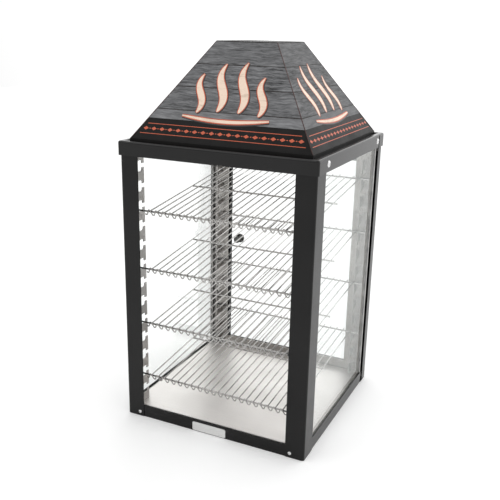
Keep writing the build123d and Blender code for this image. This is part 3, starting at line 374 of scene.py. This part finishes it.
# Mesh helpers
def finish_mesh(name, bm, mat, body, smooth, replaces=()):
    me = bpy.data.meshes.new(name)
    bmesh.ops.recalc_face_normals(bm, faces=bm.faces)
    for f in bm.faces:
        f.smooth = smooth
    bm.to_mesh(me)
    bm.free()
    me.materials.append(mat)
    o = bpy.data.objects.new(name, me)
    bpy.context.scene.collection.objects.link(o)
    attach(o, body)
    if replaces:
        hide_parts(*replaces)


# Round wire along points, with shallow cones as its ends
def tube(bm, pts, r, sides=10):
    pts = [Vector(p) for p in pts]
    last = len(pts) - 1
    tangents = [(pts[min(i + 1, last)] - pts[max(i - 1, 0)]).normalized() for i in range(last + 1)]
    ref = Vector((0, 0, 1)) if abs(tangents[0].z) < 0.9 else Vector((1, 0, 0))
    u = (ref - tangents[0] * ref.dot(tangents[0])).normalized()
    angles = [2 * math.pi * k / sides for k in range(sides)]
    rings = []
    for p, t in zip(pts, tangents):
        u = (u - t * u.dot(t)).normalized()
        w = t.cross(u)
        rings.append([bm.verts.new(p + (u * math.cos(a) + w * math.sin(a)) * r) for a in angles])
    for a, b in zip(rings, rings[1:]):
        for k in range(sides):
            k2 = (k + 1) % sides
            bm.faces.new((a[k], a[k2], b[k2], b[k]))
    for ring, t in ((rings[0], -tangents[0]), (rings[-1], tangents[-1])):
        tip = bm.verts.new(sum((v.co for v in ring), Vector()) / sides + t * r * 0.35)
        for k in range(sides):
            bm.faces.new((ring[k], ring[(k + 1) % sides], tip))


# Racks: the same wires as the CAD model's, made round
FRONT_FACE = -191.0
FRONT_Y = FRONT_FACE + 24.75        # the front cross wire
REAR_Y = FRONT_FACE + 349.35        # the rear cross wire
SLOT_PITCH = 38.5
TOP_SLOT = 513.3
SLOT_HALF = 10.5
SLOT_GAP = 0.3                      # between a cross wire and the foot of its slot
RUN = REAR_Y - FRONT_Y
TILT = math.atan2(SLOT_PITCH, RUN)
LENGTH = math.hypot(SLOT_PITCH, RUN)
CROSS_R = 1.7
LONG_R = 1.2
WELD = 0.3                          # how far crossing wires sink into each other
CROSS_REACH = 181.0
REAR_TAIL = 3.0                     # how far a long wire runs past the rear cross wire
WAVE_AHEAD = 2.6                    # from the front cross wire's middle to the wavy wire's
WIRE_PITCH = 15.4
WIRE_COUNT = 21
WIRES_OFFSET = 9.5
WIRES_HALF = (WIRE_COUNT - 1) / 2 * WIRE_PITCH
# For each rack: its front slot, its sideways shift, and its turn in degrees
RACKS = ((3, 0.0, 0.0), (6, 0.0, -0.5), (9, -1.2, 0.7), (12, -3.5, 1.3))
# The wavy wire along the front edge: narrow turns that hang, and smaller ones above the wire
LOW_R, LOW_DROP = 2.5, 5.9
HIGH_R, HIGH_RISE = 1.5, 4.0
WAVE_START = 0.61                   # in pitches, before the first long wire
HIGH_TURN = 0.42                    # in pitches, after each low turn
ARC_START, ARC_SPAN = 0.12, 0.76    # in half turns


def slot_z(i):
    return TOP_SLOT - (i - 1) * SLOT_PITCH


def wave_points():
    pts = []
    x = WIRES_OFFSET - WIRES_HALF - WAVE_START * WIRE_PITCH
    for k in range(WIRE_COUNT + 1):
        for s in range(9):
            a = math.pi * (1 + ARC_START) + math.pi * ARC_SPAN * s / 8
            pts.append((x + LOW_R * math.cos(a), -LOW_DROP + LOW_R + LOW_R * math.sin(a)))
        if k < WIRE_COUNT:
            for s in range(7):
                a = math.pi * (1 - ARC_START) - math.pi * ARC_SPAN * s / 6
                pts.append((x + HIGH_TURN * WIRE_PITCH + HIGH_R * math.cos(a),
                            HIGH_RISE - HIGH_R + HIGH_R * math.sin(a)))
        x += WIRE_PITCH
    return pts


def rack_wires(number, front_slot, shift, turn):
    t = math.radians(turn)
    across = Vector((math.cos(t), -math.sin(t), 0))
    along = Vector((math.sin(t) * math.cos(TILT), math.cos(t) * math.cos(TILT), math.sin(TILT)))
    above = across.cross(along)
    height = (slot_z(front_slot) + slot_z(front_slot - 1)) / 2 - SLOT_HALF + CROSS_R + SLOT_GAP
    middle = Vector((shift, (FRONT_Y + REAR_Y) / 2, height))

    def place(x, y, z):
        return (middle + across * x + along * y + above * z) * MM

    bm = bmesh.new()
    for y in (-LENGTH / 2, LENGTH / 2):
        tube(bm, [place(-CROSS_REACH, y, 0), place(CROSS_REACH, y, 0)], CROSS_R * MM, 14)
    tube(bm, [place(WIRES_OFFSET - WIRES_HALF - 2, 0, 0), place(WIRES_OFFSET + WIRES_HALF + 6, 0, 0)],
         CROSS_R * MM, 14)
    z = CROSS_R + LONG_R - WELD
    for k in range(WIRE_COUNT):
        x = WIRES_OFFSET - WIRES_HALF + k * WIRE_PITCH
        ys = (-LENGTH / 2 - LONG_R, -40, 80, LENGTH / 2 + CROSS_R + REAR_TAIL)
        tube(bm, [place(x, y, z) for y in ys], LONG_R * MM)
    tube(bm, [place(x, -LENGTH / 2 - WAVE_AHEAD, z) for x, z in wave_points()], LONG_R * MM)
    finish_mesh(f"rack_wires_{number}", bm, WIRE, f"rack_body_{number}", True,
                (f"rack_{number}",))


for number, rack in enumerate(RACKS, 1):
    rack_wires(number, *rack)

# Sign art, drawn as thin flat strokes just above the sloping faces
SIGN_FOOT, SIGN_TOP = 566.5, 741.0
FOOT_X, FOOT_Y, TOP_X, TOP_Y = 179.0, 176.0, 61.0, 63.5     # half sizes of the foot and the top
SHADE_LIFT, ORANGE_LIFT, WISP_LIFT, CREAM_LIFT = 0.08, 0.15, 0.18, 0.3
SHADE_SHIFT = (1.1, -1.6)
# Rising wisps: middle, foot, height, sway and half width
WISPS = ((-62, 60, 78, 8, 7.0), (-22, 64, 96, 9, 8.5), (20, 64, 100, 9, 8.5), (60, 60, 76, 8, 7.0))
WISP_STEPS = 32
DISH_HALF, DISH_HEIGHT, DISH_SAG, DISH_STEPS = 86, 53, 7, 40
BORDER_MIDDLE = 22.0
BORDER_LINES = (12.0, 32.0)
BORDER_MARGIN = 9
LOZENGE_PITCH, LOZENGE_HALF, LOZENGES_EACH_WAY = 17.0, 5.5, 9
DOT_START, DOT_END = 7.2, 9.8       # a small dot between two lozenges
SEAM_R = 0.85
SEAM_TOP_DROP = 0.8

faces = {}
for key, out, foot_half, top_half, foot_out, top_out in (
    ("front", Vector((0, -1, 0)), FOOT_X, TOP_X, FOOT_Y, TOP_Y),
    ("rear", Vector((0, 1, 0)), FOOT_X, TOP_X, FOOT_Y, TOP_Y),
    ("right", Vector((1, 0, 0)), FOOT_Y, TOP_Y, FOOT_X, TOP_X),
    ("left", Vector((-1, 0, 0)), FOOT_Y, TOP_Y, FOOT_X, TOP_X),
):
    rise = SIGN_TOP - SIGN_FOOT
    lean = (foot_out - top_out) / rise
    stretch = math.hypot(1, lean)
    faces[key] = {
        "origin": out * foot_out + Vector((0, 0, SIGN_FOOT)),
        "across": Vector((0, 0, 1)).cross(out),
        "up": (Vector((0, 0, 1)) - out * lean) / stretch,
        "normal": (out + Vector((0, 0, 1)) * lean) / stretch,
        "foot_half": foot_half,
        "narrowing": (foot_half - top_half) / (rise * stretch),
    }


def on_face(key, u, v, lift):
    face = faces[key]
    return (face["origin"] + face["across"] * u + face["up"] * v + face["normal"] * lift) * MM


# Flat stroke on a sloping face, from its middle line and half widths
def ribbon(bm, key, pts, widths, lift):
    left, right = [], []
    for i, (p, w) in enumerate(zip(pts, widths)):
        before = Vector(pts[max(0, i - 1)])
        after = Vector(pts[min(len(pts) - 1, i + 1)])
        d = (after - before).normalized()
        n = Vector((-d.y, d.x))
        left.append(bm.verts.new(on_face(key, p[0] + n.x * w, p[1] + n.y * w, lift)))
        right.append(bm.verts.new(on_face(key, p[0] - n.x * w, p[1] - n.y * w, lift)))
    for i in range(len(pts) - 1):
        bm.faces.new((left[i], left[i + 1], right[i + 1], right[i]))


def wisp(middle, foot, height, sway, width):
    pts, widths = [], []
    for i in range(WISP_STEPS + 1):
        t = i / WISP_STEPS
        pts.append((middle + sway * math.sin(2 * math.pi * (0.9 * t + 0.05)), foot + height * t))
        swell = math.sin(math.pi * min(1, t * 1.02)) ** 0.6
        widths.append(width * swell * (1 - 0.35 * t) + 0.25)
    return pts, widths


def dish_widths(half, margin):
    steps = range(DISH_STEPS + 1)
    return [half * math.sin(math.pi * (0.04 + 0.92 * i / DISH_STEPS)) ** 0.5 + margin for i in steps]


def shifted(pts):
    return [(u + SHADE_SHIFT[0], v + SHADE_SHIFT[1]) for u, v in pts]


cream, orange, shade, seams = (bmesh.new() for _ in range(4))
dish = [(-DISH_HALF + 2 * DISH_HALF * i / DISH_STEPS,
         DISH_HEIGHT - DISH_SAG * math.sin(math.pi * i / DISH_STEPS)) for i in range(DISH_STEPS + 1)]
for key in ("front", "right", "left"):
    for shape in WISPS:
        pts, widths = wisp(*shape)
        ribbon(shade, key, shifted(pts), [w + 2.9 for w in widths], SHADE_LIFT)
        ribbon(orange, key, pts, [w + 1.7 for w in widths], WISP_LIFT)
        ribbon(cream, key, pts, widths, CREAM_LIFT)
    ribbon(shade, key, shifted(dish), dish_widths(3.6, 2.4), SHADE_LIFT)
    ribbon(orange, key, dish, dish_widths(3.6, 1.4), ORANGE_LIFT)
    ribbon(cream, key, dish, dish_widths(3.0, 0.0), CREAM_LIFT)
for key, face in faces.items():
    for i in range(-LOZENGES_EACH_WAY, LOZENGES_EACH_WAY + 1):
        x = i * LOZENGE_PITCH
        lozenge = [(x + side * LOZENGE_HALF, BORDER_MIDDLE) for side in (-1, 0, 1)]
        ribbon(orange, key, lozenge, [0.05, 3.6, 0.05], ORANGE_LIFT)
        if i < LOZENGES_EACH_WAY:
            dot = [(x + DOT_START, BORDER_MIDDLE), (x + DOT_END, BORDER_MIDDLE)]
            ribbon(orange, key, dot, [0.8, 0.8], ORANGE_LIFT)
    for v in BORDER_LINES:
        half = face["foot_half"] - face["narrowing"] * v - BORDER_MARGIN
        ribbon(orange, key, [(-half, v), (half, v)], [0.6, 0.6], ORANGE_LIFT)
for sx in (-1, 1):
    for sy in (-1, 1):
        foot = Vector((sx * FOOT_X, sy * FOOT_Y, SIGN_FOOT))
        top = Vector((sx * TOP_X, sy * TOP_Y, SIGN_TOP - SEAM_TOP_DROP))
        tube(seams, [foot * MM, top * MM], SEAM_R * MM, 8)
finish_mesh("sign_print_cream", cream, CREAM, "cabinet", False)
finish_mesh("sign_print_orange", orange, ORANGE, "cabinet", False)
finish_mesh("sign_print_shade", shade, SHADE, "cabinet", False)
finish_mesh("sign_hip_seams", seams, DARK_RED, "cabinet", True)

# Screw heads
CAP_HEAD_X, CAP_HEAD_Z, CAP_HEAD_DEPTHS = 196.6, 549.0, (46.0, 341.0)
CAP_HEAD_R, CAP_HEAD_HEIGHT = 6.0, 2.4
FRAME_HEAD_X, FRAME_HEAD_Z = 165.5, 9.0
FRAME_HEAD_R, FRAME_HEAD_HEIGHT = 3.6, 1.6
HEAD_RINGS, HEAD_SEGMENTS = 14, 40
CROSS_ARM, CROSS_HALF, CROSS_DEPTH = 0.52, 0.13, 0.55      # of the head's radius, and of its height


# Low domed head with a cross recess, as a height field on a round grid
def screw_head(bm, centre, nrm, up, radius, height):
    nrm, up = Vector(nrm).normalized(), Vector(up).normalized()
    side = up.cross(nrm)
    arm, half = CROSS_ARM * radius, CROSS_HALF * radius
    grid = []
    for i in range(HEAD_RINGS + 1):
        q = i / HEAD_RINGS
        row = []
        for k in range(HEAD_SEGMENTS):
            a = 2 * math.pi * k / HEAD_SEGMENTS
            x, y = q * radius * math.cos(a), q * radius * math.sin(a)
            z = height * (1 - q ** 2.6) ** 0.55 if q < 1 else 0.0
            if (abs(x) < half and abs(y) < arm) or (abs(y) < half and abs(x) < arm):
                z -= CROSS_DEPTH * height
            row.append(bm.verts.new(Vector(centre) + (side * x + up * y + nrm * z) * MM))
        grid.append(row)
    for inner, outer in zip(grid, grid[1:]):
        for k in range(HEAD_SEGMENTS):
            k2 = (k + 1) % HEAD_SEGMENTS
            bm.faces.new((inner[k], inner[k2], outer[k2], outer[k]))
    bmesh.ops.remove_doubles(bm, verts=grid[0], dist=1e-7)


bm = bmesh.new()
for sx in (-1, 1):
    for depth in CAP_HEAD_DEPTHS:
        centre = Vector((sx * CAP_HEAD_X, depth + FRONT_FACE, CAP_HEAD_Z)) * MM
        a = 0.4 + depth
        screw_head(bm, centre, (sx, 0, 0), (0, math.sin(a), math.cos(a)), CAP_HEAD_R, CAP_HEAD_HEIGHT)
finish_mesh("cap_screw_heads", bm, SCREW, "cabinet", False, ("cap_screws",))
bm = bmesh.new()
for sx in (-1, 1):
    centre = Vector((sx * FRAME_HEAD_X, FRONT_FACE, FRAME_HEAD_Z)) * MM
    a = 0.9 + sx
    screw_head(bm, centre, (0, -1, 0), (math.sin(a), 0, math.cos(a)), FRAME_HEAD_R, FRAME_HEAD_HEIGHT)
finish_mesh("frame_screw_heads", bm, SCREW, "cabinet", False, ("frame_screws",))

# Plain marks on the rear control panel, its dial and its rocker
PANEL_LIFT = 1.2
CONTROLS_V = 50.0
KNOB_U, SWITCH_U = -58.0, 44.0
MARK_LIFT = 0.12
GRIP_TOP = 17.8
DIAL_STEP = 27                      # degrees from one tick to the next, up to the dial's 270
TICK_FOOT, TICK_TOP, LONG_TICK_TOP = 20.0, 22.8, 24.5
ROCKER_TILT = math.radians(8.0)
ROCKER_DIP, ROCKER_SLOPE_RISE, ROCKER_HALF = 1.2, 3.0, 11.4
RING_MIDDLE, RING_INNER, RING_OUTER, RING_STEPS = -6.5, 1.7, 2.5, 24

bm = bmesh.new()
for i in range(11):
    a = math.radians(DIAL_STEP * i)
    ends = (TICK_FOOT, LONG_TICK_TOP if i % 5 == 0 else TICK_TOP)
    tick = [(KNOB_U + r * math.sin(a), CONTROLS_V + r * math.cos(a)) for r in ends]
    ribbon(bm, "rear", tick, [0.45, 0.45], PANEL_LIFT + MARK_LIFT)
finish_mesh("dial_ticks", bm, PLASTIC, "cabinet", False)
bm = bmesh.new()
pointer = [(KNOB_U, CONTROLS_V - 1.0), (KNOB_U, CONTROLS_V + 13.0)]
ribbon(bm, "rear", pointer, [0.7, 0.7], PANEL_LIFT + GRIP_TOP + MARK_LIFT)
finish_mesh("dial_pointer", bm, WHITE_MARK, "thermostat_dial", False)

rear = faces["rear"]
rocker_along = rear["up"] * math.cos(ROCKER_TILT) + rear["normal"] * math.sin(ROCKER_TILT)
rocker_out = Vector((-1, 0, 0)).cross(rocker_along)


def on_rocker(p, w):
    lift = ROCKER_DIP + ROCKER_SLOPE_RISE * abs(p) / ROCKER_HALF + MARK_LIFT
    step = rocker_along * p + rocker_out * lift + Vector((-w, 0, 0))
    return on_face("rear", SWITCH_U, CONTROLS_V, PANEL_LIFT) + step * MM


bm = bmesh.new()
bar = ((4.2, -0.45), (8.8, -0.45), (8.8, 0.45), (4.2, 0.45))
bm.faces.new([bm.verts.new(on_rocker(p, w)) for p, w in bar])
turns = [2 * math.pi * k / RING_STEPS for k in range(RING_STEPS)]
inner, outer = ([bm.verts.new(on_rocker(RING_MIDDLE + r * math.cos(a), r * math.sin(a))) for a in turns]
                for r in (RING_INNER, RING_OUTER))
for k in range(RING_STEPS):
    k2 = (k + 1) % RING_STEPS
    bm.faces.new((inner[k], inner[k2], outer[k2], outer[k]))
finish_mesh("rocker_marks", bm, WHITE_MARK, "power_rocker_body", False)

# Bare plate low on the front rail. Metres.
PLATE_SIZE = (0.073, 0.0007, 0.0185)
PLATE_PLACE = (-0.006, -0.1910 + 0.00085, 0.0105)
PLATE_CORNER = 0.0015
bm = bmesh.new()
bmesh.ops.create_cube(bm, size=1.0)
bmesh.ops.scale(bm, vec=PLATE_SIZE, verts=bm.verts)
bmesh.ops.translate(bm, vec=PLATE_PLACE, verts=bm.verts)
bmesh.ops.bevel(bm, geom=[e for e in bm.edges if abs(e.verts[0].co.y - e.verts[1].co.y) > 1e-5],
                offset=PLATE_CORNER, segments=4, affect="EDGES")
finish_mesh("front_plate", bm, PLATE, "cabinet", False)

# Stage: a pale floor, a softly lit room and three soft lights. Metres and watts.
bm = bmesh.new()
bmesh.ops.create_grid(bm, x_segments=1, y_segments=1, size=6.0)
me = bpy.data.meshes.new("floor")
bm.to_mesh(me)
bm.free()
floor = bpy.data.objects.new("floor", me)
floor.location = (0, 0, -0.0005)
bpy.context.scene.collection.objects.link(floor)
pale, nt, b, _ = new_mat("floor_pale")
n = noise(nt, coords(nt), 3.0, 2.0)
nt.links.new(ramp(nt, n, [(0.3, (0.86, 0.86, 0.86)), (0.7, (0.9, 0.9, 0.9))]), b.inputs["Base Color"])
b.inputs["Roughness"].default_value = 0.6
b.inputs["Emission Color"].default_value = (1, 1, 1, 1)
b.inputs["Emission Strength"].default_value = 0.14
me.materials.append(pale)

GLOW_DIRECTION = (0.40, 0.86, 0.32)         # the room is brightest behind the cabinet
GLOW_STRENGTH = 1.55
world = bpy.data.worlds.new("studio")
world.use_nodes = True
wt = world.node_tree
background = wt.nodes["Background"]
facing = wt.nodes.new("ShaderNodeVectorMath")
facing.operation = "DOT_PRODUCT"
facing.inputs[1].default_value = GLOW_DIRECTION
wt.links.new(wt.nodes.new("ShaderNodeTexCoord").outputs["Generated"], facing.inputs[0])
glow = ramp(wt, remap(wt, facing.outputs["Value"], 0.0, 1.0, -1.0, 1.0),
            [(0.30, (0.52, 0.52, 0.52)), (0.60, (0.56, 0.56, 0.56)), (0.95, (1.0, 1.0, 1.0))])
wt.links.new(glow, background.inputs[0])
background.inputs[1].default_value = GLOW_STRENGTH
bpy.context.scene.world = world


def area(name, loc, target, size, power):
    d = bpy.data.lights.new(name, "AREA")
    d.shape = "RECTANGLE"
    d.size, d.size_y = size
    d.energy = power
    o = bpy.data.objects.new(name, d)
    o.location = loc
    direction = Vector(target) - Vector(loc)
    o.rotation_euler = direction.to_track_quat("-Z", "Y").to_euler()
    bpy.context.scene.collection.objects.link(o)


area("key", (-1.2, -1.6, 2.4), (0, 0, 0.35), (1.6, 1.2), 8)
area("fill", (2.2, -0.6, 1.6), (0, 0, 0.35), (1.4, 1.6), 2.5)
area("top", (0, 0.2, 2.8), (0, 0, 0.3), (2.0, 2.0), 6)

bpy.context.scene.view_settings.view_transform = "Standard"
bpy.context.scene.view_settings.look = "None"
